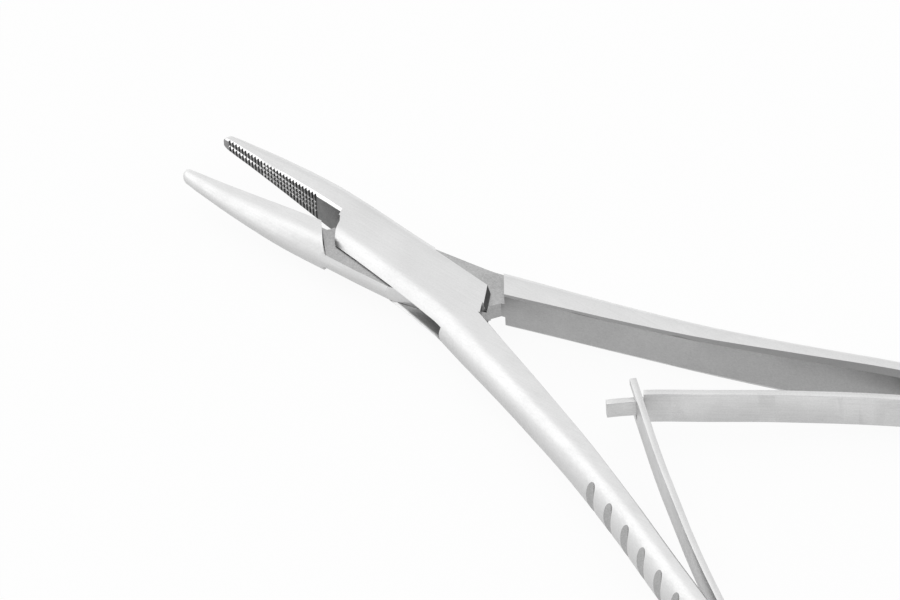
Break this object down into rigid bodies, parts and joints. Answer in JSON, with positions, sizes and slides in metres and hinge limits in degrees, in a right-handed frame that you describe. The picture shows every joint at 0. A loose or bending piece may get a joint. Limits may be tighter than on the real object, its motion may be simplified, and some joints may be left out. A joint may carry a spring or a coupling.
{
  "type": "needle holder",
  "caption": "Mathieu needle holder in satin steel: box lock, cross-serrated jaws, grooved handles with an end ratchet and interlocked leaf springs, shown open",
  "frame": {"origin": "middle of the open tool's bounding box, on the plane that it lies on; the pivot is at x = -32.6 mm, y = 0", "axes": "+X runs along the tool from the jaws toward the handles, +Y toward the handle of the half with the middle plate, +Z is the side that faces up as it lies"},
  "size_m": [0.141, 0.0702, 0.0082],
  "materials": {
    "forged_steel": "satin, bead-blasted forged stainless steel",
    "spring_steel": "satin tempered spring steel"
  },
  "bodies": {
    "female": {"female_half": "forged_steel", "pivot_pin": "forged_steel", "slotted_spring": "spring_steel", "lower_spring_rivet": "spring_steel"},
    "male": {"male_half": "forged_steel", "tongue_spring": "spring_steel", "upper_spring_rivet": "spring_steel"}
  },
  "joints": [
    {"name": "box_lock_pivot", "type": "hinge", "parent": "female", "child": "male", "pos_m": [-0.0326, 0, 0.0041], "axis": [0, 0, 1], "range_deg": [-11.5, 0], "stiffness_Nm_per_rad": 3, "deforming": ["tongue_spring", "slotted_spring"]}
  ]
}
